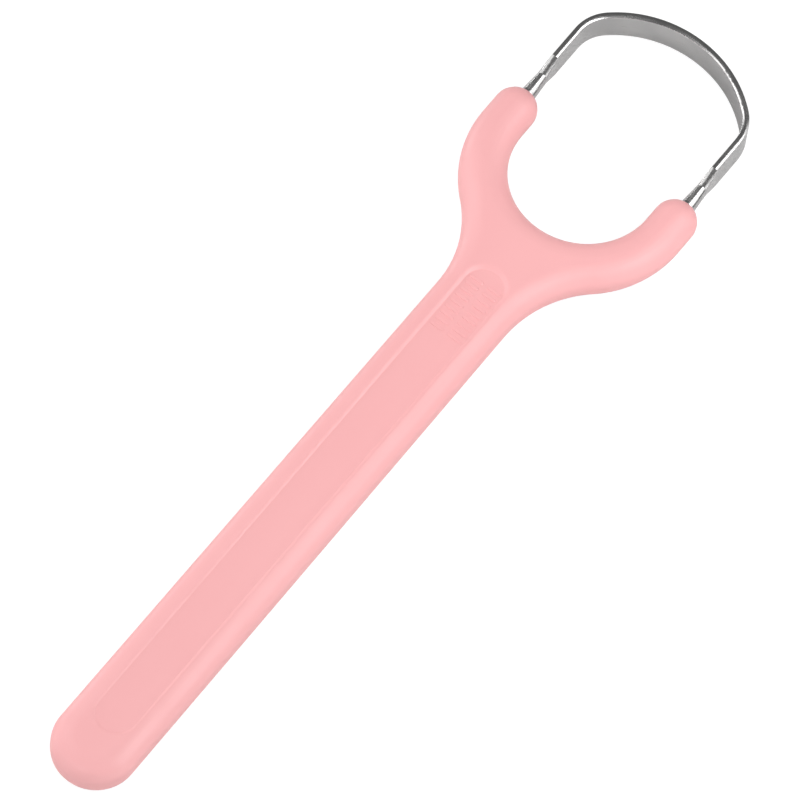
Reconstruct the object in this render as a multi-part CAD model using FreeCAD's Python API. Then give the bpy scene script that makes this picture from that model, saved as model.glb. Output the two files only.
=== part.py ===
import FreeCAD, Part
import os
import math

V = FreeCAD.Vector

# ---------------------------------------------------------------- dimensions
# millimetres; +Y runs from the free end of the handle to the steel loop,
# +Z is the front (the side with the sunk panel), z = 0 is the flat back

LENGTH = 150.0            # over all, free end to the outside of the loop
THICK = 6.2               # handle, back to front
MID_Z = THICK / 2.0       # plane of the wire

# handle bar
END_R = 6.5               # half width and plan radius of the free end
BAR_TAPER = 0.3           # how much narrower, each side, the bar is at the neck
BAR_RUN = 90.0            # length over which that taper is measured
BACK_EDGE_R = 2.45        # rounding of the bar's edges at the back
BACK_ARM_R = 3.05         # the same on the arms
CROWN_W = 2.6             # sloped shoulder along every front edge: its width in plan
CROWN_DROP = 0.88         # and its fall
SIDE_R = 2.2              # rounding between shoulder and side, on the bar
SIDE_ARM_R = 2.7          # the same on the arms
CREST_R = 4.0             # rounding between shoulder and the flat front

# fork
ARM_MID = 14.4            # axis of each arm and of each wire end, from the centre line
ARM_W = 6.6               # width of an arm at its tip
NECK_R = 18.2             # concave radius between bar and arm
FORK_IN_Y = 47.6          # centre of the fork's round inside
FORK_OUT_Y = 46.7         # centre of its round outside, so the web is thicker than the arms
ARM_TIP_Y = 53.35         # ends of the arms

# sunk panel on the front
PANEL_W = 7.5             # opening, at the front face
PANEL_DEPTH = 0.32        # at the neck
PANEL_SHALLOW = 0.10      # at the free end
PANEL_SLOPE = 0.65        # how far the wall leans in from opening to floor
PANEL_Y0 = -67.6          # near the free end
PANEL_Y1 = 26.6           # near the neck
PANEL_LIP_R = 0.5         # rounding of the opening's edge
PANEL_FOOT_R = 0.3        # rounding between wall and floor

# thumb grip on the panel's floor: two rows of short low bars
GRIP_N = 9                # bars in a row
GRIP_Y0 = 13.9            # first bar
GRIP_PITCH = 1.2
GRIP_X = 1.55             # middle of each row, from the centre line
GRIP_L = 2.3
GRIP_W = 0.5
GRIP_H = 0.1

# steel loop
WIRE_D = 2.3              # round wire
RIB_W = 5.7               # the same wire pressed flat: width (along Z)
RIB_T = 1.0               # and thickness
RIB_EDGE_R = 0.9          # flat crown across the ribbon's two edges
RIB_CORNER_R = 0.12       # rounding between that crown and the flat sides
ARC_R = 18.2              # middle line of the long curve
CORNER_R = 6.2            # middle line of the two corners
FLAT_START = 0.25         # round wire showing beyond the arm tip
PRESS_RUN = 3.05          # first part of the flare: the wire thins, hardly wider
PRESS_W = 2.75            # its width at the end of that part
PRESS_T = 1.6             # and its thickness
FLAT_RUN = 2.8            # second part: it spreads to the full width of the ribbon
TANG_L = 11.5             # wire hidden in the arm
PAD_L = 4.0               # flattened end of the tang
PAD_W = 3.5               # across, along Z
PAD_T = 1.3

# ---------------------------------------------------------------- helpers


def seg(a, b):
    return Part.LineSegment(a, b).toShape()


def arc3(a, m, b):
    return Part.Arc(a, m, b).toShape()


def on_circle(cx, cy, r, deg):
    t = math.radians(deg)
    return V(cx + r * math.cos(t), cy + r * math.sin(t), 0)


def mirrored(shape):
    return shape.mirror(V(0, 0, 0), V(1, 0, 0))


def one_solid(shape, name):
    shape = shape.removeSplitter()
    solids = shape.Solids
    if len(solids) != 1:
        raise RuntimeError("%s has %d solids" % (name, len(solids)))
    s = solids[0]
    if not s.isValid():
        s.fix(1e-5, 1e-5, 1e-4)
    return s


# ---------------------------------------------------------------- handle outline

Y_END = -LENGTH / 2.0
OUT_R = ARM_MID + ARM_W / 2.0
IN_R = ARM_MID - ARM_W / 2.0
TIP_R = ARM_W / 2.0
TIP_Y = ARM_TIP_Y - TIP_R

taper = math.atan2(BAR_TAPER, BAR_RUN)
c0 = V(0, Y_END + END_R, 0)
nrm = V(math.cos(taper), math.sin(taper), 0)       # outward, right side of the bar
along = V(-math.sin(taper), math.cos(taper), 0)
t0 = c0 + nrm * END_R                              # end circle meets the side

# centre of the neck's concave arc: NECK_R outside the bar's side,
# and touching the fork's outside circle
fork_c = V(0, FORK_OUT_Y, 0)
base = t0 + nrm * NECK_R - fork_c
b = base.dot(along)
c = base.dot(base) - (OUT_R + NECK_R) ** 2
s_neck = -b - math.sqrt(b * b - c)
neck_c = t0 + along * s_neck + nrm * NECK_R
t1 = t0 + along * s_neck                           # side meets the neck arc
to_fork = (fork_c - neck_c).normalize()
t2 = neck_c + to_fork * NECK_R                     # neck arc meets the fork circle

a1 = math.atan2(t1.y - neck_c.y, t1.x - neck_c.x)
a2 = math.atan2(t2.y - neck_c.y, t2.x - neck_c.x)
if a1 < 0:
    a1 += 2 * math.pi
if a2 < 0:
    a2 += 2 * math.pi
a_mid = math.degrees((a1 + a2) / 2)
f2 = math.atan2(t2.y - FORK_OUT_Y, t2.x)


def outline(inset, z):
    """The handle's plan outline, drawn in by inset, at height z."""
    q0 = c0 + nrm * (END_R - inset)
    q1 = t1 - nrm * inset
    q2 = neck_c + to_fork * (NECK_R + inset)
    ro, ri, rt = OUT_R - inset, IN_R + inset, TIP_R - inset
    half = [
        arc3(V(0, Y_END + inset, 0),
             on_circle(c0.x, c0.y, END_R - inset, -45 + math.degrees(taper) / 2), q0),
        seg(q0, q1),
        arc3(q1, on_circle(neck_c.x, neck_c.y, NECK_R + inset, a_mid), q2),
        arc3(q2, on_circle(0, FORK_OUT_Y, ro, math.degrees(f2 / 2)), V(ro, FORK_OUT_Y, 0)),
        seg(V(ro, FORK_OUT_Y, 0), V(ro, TIP_Y, 0)),
        arc3(V(ro, TIP_Y, 0), V(ARM_MID, TIP_Y + rt, 0), V(ri, TIP_Y, 0)),
        seg(V(ri, TIP_Y, 0), V(ri, FORK_IN_Y, 0)),
        arc3(V(ri, FORK_IN_Y, 0), on_circle(0, FORK_IN_Y, ri, -45), V(0, FORK_IN_Y - ri, 0)),
    ]
    other = [mirrored(e) for e in half]
    w = Part.Wire(Part.__sortEdges__(half + other))
    w.translate(V(0, 0, z))
    return w


SHOULDER_Z = THICK - CROWN_DROP
body = Part.makeLoft([outline(0, 0), outline(0, SHOULDER_Z), outline(CROWN_W, THICK)], True, True)
print("blank valid", body.isValid(), "faces", len(body.Faces))

# every edge of the outline is rounded, back, shoulder and crest; the first two
# radii grow along the neck's arc
doc = FreeCAD.newDocument("handle")
blank = doc.addObject("Part::Feature", "blank")
blank.Shape = body
levels = ((0.0, BACK_EDGE_R, BACK_ARM_R), (SHOULDER_Z, SIDE_R, SIDE_ARM_R), (THICK, CREST_R, CREST_R))
rounds = []
for i, e in enumerate(body.Edges, 1):
    bb = e.BoundBox
    for z, r_bar, r_arm in levels:
        if abs(bb.ZMin - z) < 1e-6 and abs(bb.ZMax - z) < 1e-6:
            ends = [e.valueAt(t) for t in (e.FirstParameter, e.LastParameter)]
            r12 = [r_bar if v.y < t1.y + 1e-3 else r_arm for v in ends]
            rounds.append((i, r12[0], r12[1]))
rounder = doc.addObject("Part::Fillet", "rounder")
rounder.Base = blank
rounder.Edges = rounds
doc.recompute()
body = rounder.Shape.copy()
print("rounded blank valid", body.isValid(), "faces", len(body.Faces))

# ---------------------------------------------------------------- sunk panel


def panel_wire(half, y0, y1, z):
    """Long slot outline, rounded ends, at height z."""
    return Part.Wire([
        seg(V(half, y0 + half, z), V(half, y1 - half, z)),
        arc3(V(half, y1 - half, z), V(0, y1, z), V(-half, y1 - half, z)),
        seg(V(-half, y1 - half, z), V(-half, y0 + half, z)),
        arc3(V(-half, y0 + half, z), V(0, y0, z), V(half, y0 + half, z)),
    ])


h_top = PANEL_W / 2.0
h_bot = h_top - PANEL_SLOPE
over = 1.0                                          # tool stands proud of the front
lean = PANEL_SLOPE / PANEL_DEPTH
h_over = h_top + lean * over
floor_z = THICK - PANEL_DEPTH
tool = Part.makeLoft([
    panel_wire(h_bot, PANEL_Y0 + PANEL_SLOPE, PANEL_Y1 - PANEL_SLOPE, floor_z),
    panel_wire(h_over, PANEL_Y0 - lean * over, PANEL_Y1 + lean * over, THICK + over),
], True, True)
foot = [e for e in tool.Edges if abs(e.BoundBox.ZMax - floor_z) < 1e-6
        and abs(e.BoundBox.ZMin - floor_z) < 1e-6]
tool = tool.makeFillet(PANEL_FOOT_R, foot)
tilt = math.degrees(math.atan2(PANEL_DEPTH - PANEL_SHALLOW, PANEL_Y1 - PANEL_Y0))
tool.rotate(V(0, PANEL_Y1, floor_z), V(1, 0, 0), -tilt)
skin = body.Shells[0].copy()
body = body.cut(tool)
lip = []
for e in body.Edges:
    bb = e.BoundBox
    if bb.ZMin < floor_z or bb.YMin < PANEL_Y0 - 1 or bb.YMax > PANEL_Y1 + 1 \
            or max(abs(bb.XMin), abs(bb.XMax)) > h_top + 1:
        continue
    m = Part.Vertex(e.valueAt((e.FirstParameter + e.LastParameter) / 2))
    if skin.distToShape(m)[0] < 1e-4 and tool.Shells[0].distToShape(m)[0] < 1e-4:
        lip.append(e)
print("after cut valid", body.isValid(), "lip edges", len(lip), "length %.2f" % sum(e.Length for e in lip))
body = body.makeFillet(PANEL_LIP_R, lip)
print("lip rounded valid", body.isValid())

# thumb grip: low rounded bars across the panel's floor
for i in range(GRIP_N):
    for x in (-GRIP_X, GRIP_X):
        y = GRIP_Y0 + i * GRIP_PITCH
        hl = GRIP_L / 2.0 - GRIP_W / 2.0
        hw = GRIP_W / 2.0
        z = floor_z + (PANEL_Y1 - y) * math.tan(math.radians(tilt)) - 0.1
        w = Part.Wire([
            seg(V(x - hl, y - hw, z), V(x + hl, y - hw, z)),
            arc3(V(x + hl, y - hw, z), V(x + hl + hw, y, z), V(x + hl, y + hw, z)),
            seg(V(x + hl, y + hw, z), V(x - hl, y + hw, z)),
            arc3(V(x - hl, y + hw, z), V(x - hl - hw, y, z), V(x - hl, y - hw, z)),
        ])
        bar = Part.Face(w).extrude(V(0, 0, GRIP_H + 0.1))
        top = [e for e in bar.Edges if abs(e.BoundBox.ZMin - (z + GRIP_H + 0.1)) < 1e-6]
        bar = bar.makeFillet(GRIP_H * 0.85, top)
        body = body.fuse(bar)

# ---------------------------------------------------------------- steel loop

r_w = WIRE_D / 2.0
y_loop = LENGTH / 2.0 - RIB_T / 2.0                 # apex of the middle line
arc_cy = y_loop - ARC_R
cx = ARM_MID - CORNER_R
cy = arc_cy + math.sqrt((ARC_R - CORNER_R) ** 2 - cx * cx)
y_flat0 = ARM_TIP_Y + FLAT_START
y_press = y_flat0 + PRESS_RUN
y_flat1 = y_press + FLAT_RUN
if y_flat1 > cy:
    raise RuntimeError("the wire must be flat before the corner starts")
turn = math.degrees(math.atan2(cy - arc_cy, cx))    # corner sweeps 0..turn
print("corner starts at y %.2f, corner turns %.1f deg, long curve half angle %.1f deg"
      % (cy, turn, 90 - turn))


CUT = math.radians(57.0)                            # where a plain round is cut, from Z
SIDE = math.radians(86.0)


def ring(x, y, flat, corner, crown, top, side=None):
    """Closed section across Y from one quarter of it: the ends flat and crown of
    its corner arc, a point on that arc, the top point, and the side point when
    the flats are arcs too."""
    def at(p, sx, sz):
        return V(x + sx * p[0], y, MID_Z + sz * p[1])

    def flank(sx):
        lo, hi = at(flat, sx, -sx), at(flat, sx, sx)
        return seg(lo, hi) if side is None else arc3(lo, at(side, sx, 1), hi)

    return Part.Wire([
        flank(1),
        arc3(at(flat, 1, 1), at(corner, 1, 1), at(crown, 1, 1)),
        arc3(at(crown, 1, 1), at(top, 1, 1), at(crown, -1, 1)),
        arc3(at(crown, -1, 1), at(corner, -1, 1), at(flat, -1, 1)),
        flank(-1),
        arc3(at(flat, -1, -1), at(corner, -1, -1), at(crown, -1, -1)),
        arc3(at(crown, -1, -1), at(top, 1, -1), at(crown, 1, -1)),
        arc3(at(crown, 1, -1), at(corner, 1, -1), at(flat, 1, -1)),
    ])


def slot_section(x, y, width, thick, crown_r=None, corner_r=None):
    """Section of the pressed wire in a plane across Y: flats towards +-X, crowned
    towards +-Z; fully round there when no radii are given."""
    t = thick / 2.0
    big = t if crown_r is None else crown_r
    small = t if corner_r is None else corner_r
    zc = width / 2.0 - big                          # centre of the crown
    if big - small > 1e-6:
        dz = math.sqrt((big - small) ** 2 - (t - small) ** 2)
        cut = math.atan2(t - small, dz)
    else:
        dz, cut = 0.0, CUT
    mid = (cut + math.pi / 2) / 2
    return ring(x, y, (t, zc + dz),
                (t - small + small * math.sin(mid), zc + dz + small * math.cos(mid)),
                (big * math.sin(cut), zc + big * math.cos(cut)), (0.0, width / 2.0))


def round_section(x, y):
    """The round wire, cut at the same eight places."""
    def on(t):
        return (r_w * math.sin(t), r_w * math.cos(t))
    return ring(x, y, on(SIDE), on((SIDE + CUT) / 2), on(CUT), (0.0, r_w), (r_w, 0.0))


def ribbon(x, y):
    return slot_section(x, y, RIB_W, RIB_T, RIB_EDGE_R, RIB_CORNER_R)


def loop_half(sign):
    x = sign * ARM_MID
    parts = []
    # hidden tang and the round wire that shows
    y_in = ARM_TIP_Y - TANG_L
    parts.append(Part.makeCylinder(r_w, y_flat0 - y_in, V(x, y_in, MID_Z), V(0, 1, 0)))
    # flattened end of the tang
    parts.append(Part.Face(slot_section(x, y_in, PAD_W, PAD_T)).extrude(V(0, PAD_L, 0)))
    # round to flat: two plain ramps, as the press leaves it
    secs = [round_section(x, y_flat0), slot_section(x, y_press, PRESS_W, PRESS_T),
            ribbon(x, y_flat1)]
    parts.append(Part.makeLoft(secs, True, True))
    # straight leg
    flat = Part.Face(ribbon(x, y_flat1))
    parts.append(flat.extrude(V(0, cy - y_flat1, 0)))
    # corner
    face = Part.Face(ribbon(x, cy))
    parts.append(face.revolve(V(sign * cx, cy, 0), V(0, 0, 1), sign * turn))
    return parts


pieces = loop_half(1) + loop_half(-1)
apex = Part.Face(ribbon(ARC_R, arc_cy))
apex.rotate(V(0, arc_cy, 0), V(0, 0, 1), turn)
pieces.append(apex.revolve(V(0, arc_cy, 0), V(0, 0, 1), 180 - 2 * turn))
loop = pieces[0]
for p in pieces[1:]:
    loop = loop.fuse(p)
loop = one_solid(loop, "scraper_blade")

# the plastic is moulded around the tangs
body = body.cut(loop)
body = one_solid(body, "handle")

# ---------------------------------------------------------------- files

os.makedirs("parts", exist_ok=True)
for name, shape in (("handle", body), ("scraper_blade", loop)):
    bb = shape.BoundBox
    print("%-14s valid %s  volume %.1f mm3  faces %d  x %.2f..%.2f  y %.2f..%.2f  z %.2f..%.2f"
          % (name, shape.isValid(), shape.Volume, len(shape.Faces),
             bb.XMin, bb.XMax, bb.YMin, bb.YMax, bb.ZMin, bb.ZMax))
    shape.exportStep("parts/%s.step" % name)
print("overlap %.6f mm3" % body.common(loop).Volume)
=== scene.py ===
import bpy
import math
from mathutils import Matrix, Vector

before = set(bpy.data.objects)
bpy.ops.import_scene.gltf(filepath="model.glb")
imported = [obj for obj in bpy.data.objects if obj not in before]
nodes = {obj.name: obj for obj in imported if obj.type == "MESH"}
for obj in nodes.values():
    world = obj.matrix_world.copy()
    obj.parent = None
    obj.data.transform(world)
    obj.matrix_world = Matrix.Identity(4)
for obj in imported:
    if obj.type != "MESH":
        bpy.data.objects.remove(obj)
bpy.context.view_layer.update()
scene = bpy.context.scene
scene.view_settings.view_transform = "Standard"
scene.view_settings.look = "None"

MM = 0.001

# ------------------------------------------------------------------ camera
AZ, EL, ROLL = 28.64, 63.53, 9.32
PX_PER_MM, DIST_MM = 6.985, 3000.0
AIM_PX = (385.7, 408.36)          # where the middle of the part falls in the 800 px frame

a, e, r = (math.radians(v) for v in (AZ, EL, ROLL))
back = Vector((math.sin(a) * math.cos(e), -math.cos(a) * math.cos(e), math.sin(e)))
right = Vector((math.cos(a), math.sin(a), 0.0))
up = back.cross(right)
cam_x = right * math.cos(r) + up * math.sin(r)
cam_y = up * math.cos(r) - right * math.sin(r)
target = Vector((0, 0, 3.1))
loc = (target + back * DIST_MM
       - cam_x * ((AIM_PX[0] - 400) / PX_PER_MM)
       + cam_y * ((AIM_PX[1] - 400) / PX_PER_MM)) * MM
cam_data = bpy.data.cameras.new("camera")
cam_data.sensor_width = 36.0
cam_data.lens = PX_PER_MM * DIST_MM * 36.0 / 800.0
cam_data.clip_start, cam_data.clip_end = 0.1, 50.0
cam = bpy.data.objects.new("camera", cam_data)
scene.collection.objects.link(cam)
cam.matrix_world = Matrix((
    (cam_x.x, cam_y.x, back.x, loc.x),
    (cam_x.y, cam_y.y, back.y, loc.y),
    (cam_x.z, cam_y.z, back.z, loc.z),
    (0, 0, 0, 1)))
scene.camera = cam

# ------------------------------------------------------------------ node helpers


def new_material(name):
    m = bpy.data.materials.new(name)
    m.use_nodes = True
    nt = m.node_tree
    nt.nodes.clear()
    out = nt.nodes.new("ShaderNodeOutputMaterial")
    b = nt.nodes.new("ShaderNodeBsdfPrincipled")
    nt.links.new(b.outputs["BSDF"], out.inputs["Surface"])
    return m, nt, b


def coords(nt, scale):
    """Object coordinates in metres, stretched by scale."""
    tc = nt.nodes.new("ShaderNodeTexCoord")
    mp = nt.nodes.new("ShaderNodeMapping")
    mp.inputs["Scale"].default_value = scale
    nt.links.new(tc.outputs["Object"], mp.inputs["Vector"])
    return mp.outputs["Vector"]


def noise(nt, vec, scale, detail=2.0, rough=0.5):
    n = nt.nodes.new("ShaderNodeTexNoise")
    n.inputs["Scale"].default_value = scale
    n.inputs["Detail"].default_value = detail
    n.inputs["Roughness"].default_value = rough
    nt.links.new(vec, n.inputs["Vector"])
    return n.outputs["Fac"]


def span(nt, fac, lo, hi, f0=0.3, f1=0.7):
    """Maps the middle of a noise onto lo..hi."""
    m = nt.nodes.new("ShaderNodeMapRange")
    m.inputs["From Min"].default_value = f0
    m.inputs["From Max"].default_value = f1
    m.inputs["To Min"].default_value = lo
    m.inputs["To Max"].default_value = hi
    nt.links.new(fac, m.inputs["Value"])
    return m.outputs["Result"]


def tint(nt, fac, dark, light, f0=0.3, f1=0.7):
    ramp = nt.nodes.new("ShaderNodeValToRGB")
    ramp.color_ramp.elements[0].position = f0
    ramp.color_ramp.elements[0].color = (*dark, 1)
    ramp.color_ramp.elements[1].position = f1
    ramp.color_ramp.elements[1].color = (*light, 1)
    nt.links.new(fac, ramp.inputs["Fac"])
    return ramp.outputs["Color"]


def bump(nt, height, strength, distance, under=None):
    n = nt.nodes.new("ShaderNodeBump")
    n.inputs["Strength"].default_value = strength
    n.inputs["Distance"].default_value = distance
    nt.links.new(height, n.inputs["Height"])
    if under is not None:
        nt.links.new(under, n.inputs["Normal"])
    return n.outputs["Normal"]


# ------------------------------------------------------------------ materials

PINK = (0.985, 0.482, 0.488)


def plastic():
    """Soft pink moulded plastic: a very fine even texture, faint flow marks along
    the bar, hardly any change of colour."""
    m, nt, b = new_material("pink_plastic")
    slow = noise(nt, coords(nt, (1, 0.35, 1)), 60.0, 3.0, 0.55)
    grain = noise(nt, coords(nt, (1, 1, 1)), 5200.0, 2.0, 0.5)
    cloud = noise(nt, coords(nt, (1, 0.5, 1)), 420.0, 3.0, 0.6)
    dark = tuple(c * k for c, k in zip(PINK, (0.992, 0.975, 0.978)))
    light = tuple(min(1.0, c * k) for c, k in zip(PINK, (1.006, 1.02, 1.018)))
    nt.links.new(tint(nt, slow, dark, light), b.inputs["Base Color"])
    nt.links.new(span(nt, cloud, 0.37, 0.46), b.inputs["Roughness"])
    n1 = bump(nt, cloud, 0.05, 0.00012)
    nt.links.new(bump(nt, grain, 0.10, 0.00003, n1), b.inputs["Normal"])
    b.inputs["Specular IOR Level"].default_value = 0.5
    return m


def steel():
    """Drawn and pressed stainless wire: fine lines along the strip, a little
    unevenness left by the press."""
    m, nt, b = new_material("steel")
    lines = noise(nt, coords(nt, (1, 1, 26)), 260.0, 3.0, 0.6)
    slow = noise(nt, coords(nt, (1, 1, 1)), 240.0, 2.0, 0.5)
    nt.links.new(tint(nt, slow, (0.545, 0.54, 0.54), (0.60, 0.595, 0.59)), b.inputs["Base Color"])
    nt.links.new(span(nt, lines, 0.18, 0.28), b.inputs["Roughness"])
    n1 = bump(nt, slow, 0.06, 0.00015)
    nt.links.new(bump(nt, lines, 0.008, 0.00005, n1), b.inputs["Normal"])
    b.inputs["Metallic"].default_value = 1.0
    return m


for name, mat in (("handle", plastic()), ("scraper_blade", steel())):
    ob = nodes[name]
    ob.data.materials.clear()
    ob.data.materials.append(mat)

# ------------------------------------------------------------------ stage

# the white ground that the camera sees; it neither lights the object nor shows in it
bpy.ops.mesh.primitive_plane_add(size=6.0, location=(0, 0, 0))
floor = bpy.context.object
floor.name = "floor"
fm, nt, b = new_material("floor_white")
b.inputs["Base Color"].default_value = (0.2, 0.2, 0.2, 1)
b.inputs["Roughness"].default_value = 0.9
b.inputs["Emission Color"].default_value = (1, 1, 1, 1)
b.inputs["Emission Strength"].default_value = 0.9
floor.data.materials.append(fm)
floor.visible_diffuse = floor.visible_glossy = floor.visible_shadow = False

# the table that throws light back up at the object and shows in the steel
bpy.ops.mesh.primitive_plane_add(size=2.0, location=(0, 0, -0.0002))
table = bpy.context.object
table.name = "table"
tm, nt, b = new_material("table_white")
b.inputs["Base Color"].default_value = (0.74, 0.74, 0.74, 1)
b.inputs["Roughness"].default_value = 0.9
table.data.materials.append(tm)
table.visible_camera = False

# ------------------------------------------------------------------ light


def softbox(name, el, az, dist, w, h, radiance, about=(0.0, 0.0, 0.003)):
    """A flat area light facing the point about, from elevation el and azimuth az
    (from +X towards +Y), giving the radiance asked for."""
    ce, se = math.cos(math.radians(el)), math.sin(math.radians(el))
    d = Vector((math.cos(math.radians(az)) * ce, math.sin(math.radians(az)) * ce, se))
    ld = bpy.data.lights.new(name, "AREA")
    ld.shape = "RECTANGLE"
    ld.size, ld.size_y = w, h
    ld.energy = radiance * math.pi * w * h
    ob = bpy.data.objects.new(name, ld)
    scene.collection.objects.link(ob)
    ob.matrix_world = Matrix.Translation(Vector(about) + d * dist) @ d.to_track_quat("Z", "Y").to_matrix().to_4x4()
    ob.visible_camera = False
    return ob


NECK = (0.0, 0.012, 0.005)
BAR = (0.0, -0.02, 0.003)
# a key bank to the right, nearest to the neck
softbox("key_back", 33, 27, 0.32, 0.12, 0.14, 1.85, NECK)
softbox("key_high", 57, 42, 0.32, 0.20, 0.12, 3.80, NECK)
softbox("key_far", 37, 55, 0.32, 0.12, 0.12, 0.87, NECK)
softbox("key_far_low", 16, 55, 0.32, 0.13, 0.10, 1.60, NECK)
softbox("key_side_high", 60, 5, 0.32, 0.12, 0.12, 2.75, NECK)
softbox("key_side", 38, 0, 0.32, 0.12, 0.12, 2.20, NECK)
softbox("key_side_low", 17, 0, 0.32, 0.13, 0.10, 0.72, NECK)
# a wide, dimmer fill bank to the left and front
softbox("fill_high_left", 62, 180, 0.40, 0.18, 0.14, 2.15, BAR)
for az, mid, low in ((183, 1.30, 0.60), (208, 0.50, 0.60), (233, 0.85, 1.35)):
    softbox("fill_mid_%d" % az, 41, az, 0.40, 0.17, 0.13, mid, BAR)
    softbox("fill_low_%d" % az, 22, az, 0.40, 0.17, 0.13, low, BAR)
softbox("fill_neck", 48, 172, 0.32, 0.13, 0.12, 1.50, NECK)
softbox("fill_neck_low", 20, 185, 0.32, 0.13, 0.10, 0.40, NECK)
softbox("fill_front", 45, 270, 0.40, 0.20, 0.13, 2.50, BAR)
# low cards to the right front and to the left
for az, w, rad in ((345, 0.24, 2.55), (310, 0.24, 2.55), (255, 0.24, 2.15), (205, 0.24, 3.50), (166, 0.16, 6.60)):
    softbox("low_%d" % az, 8, az, 0.40, w, 0.08, rad)

# the dim room all round
bpy.ops.mesh.primitive_ico_sphere_add(subdivisions=3, radius=6.0, location=(0, 0, 0))
room = bpy.context.object
room.name = "room"
rm, nt, b = new_material("room_grey")
b.inputs["Base Color"].default_value = (0, 0, 0, 1)
b.inputs["Specular IOR Level"].default_value = 0.0
b.inputs["Emission Color"].default_value = (1, 1, 1, 1)
b.inputs["Emission Strength"].default_value = 0.14
room.data.materials.append(rm)
room.visible_camera = room.visible_shadow = False

world = bpy.data.worlds.new("studio")
scene.world = world
world.use_nodes = True
world.node_tree.nodes["Background"].inputs["Color"].default_value = (1, 1, 1, 1)
world.node_tree.nodes["Background"].inputs["Strength"].default_value = 1.0
world.cycles_visibility.diffuse = False
world.cycles_visibility.glossy = False
world.cycles_visibility.transmission = False
world.cycles_visibility.scatter = False
